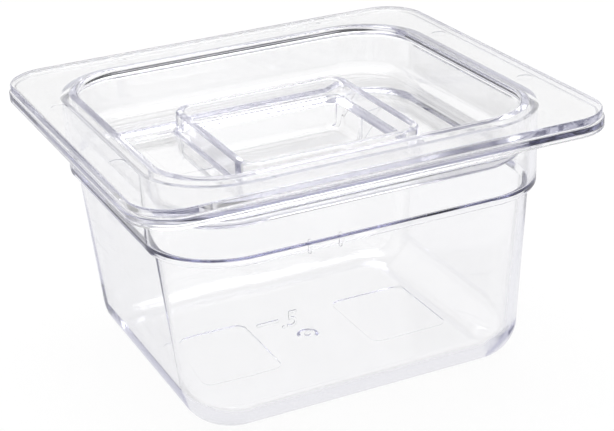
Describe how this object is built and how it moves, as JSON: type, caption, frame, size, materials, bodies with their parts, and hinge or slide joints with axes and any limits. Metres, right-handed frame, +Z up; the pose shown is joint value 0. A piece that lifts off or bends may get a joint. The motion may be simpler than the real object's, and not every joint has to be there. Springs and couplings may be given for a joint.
{
  "type": "deli food pan",
  "caption": "Clear rectangular food pan with a flat rim and stacking shoulder, under a lift-off lid with a square recessed handle.",
  "frame": {"origin": "under the middle of the base, on the surface the pan stands on", "axes": "+Z up, the way the lid lifts; +X along the longer side of the rim; -Y is the front side, which carries the graduations"},
  "size_m": [0.176, 0.162, 0.1],
  "materials": {
    "pan_plastic": "clear polycarbonate, gloss",
    "lid_plastic": "clear polycarbonate, gloss"
  },
  "bodies": {
    "pan": {"pan": "pan_plastic"},
    "lid": {"lid": "lid_plastic"}
  },
  "joints": [
    {"name": "lid_lift", "type": "slide", "parent": "pan", "child": "lid", "axis": [0, 0, 1], "range_m": [0, 0.12]}
  ]
}
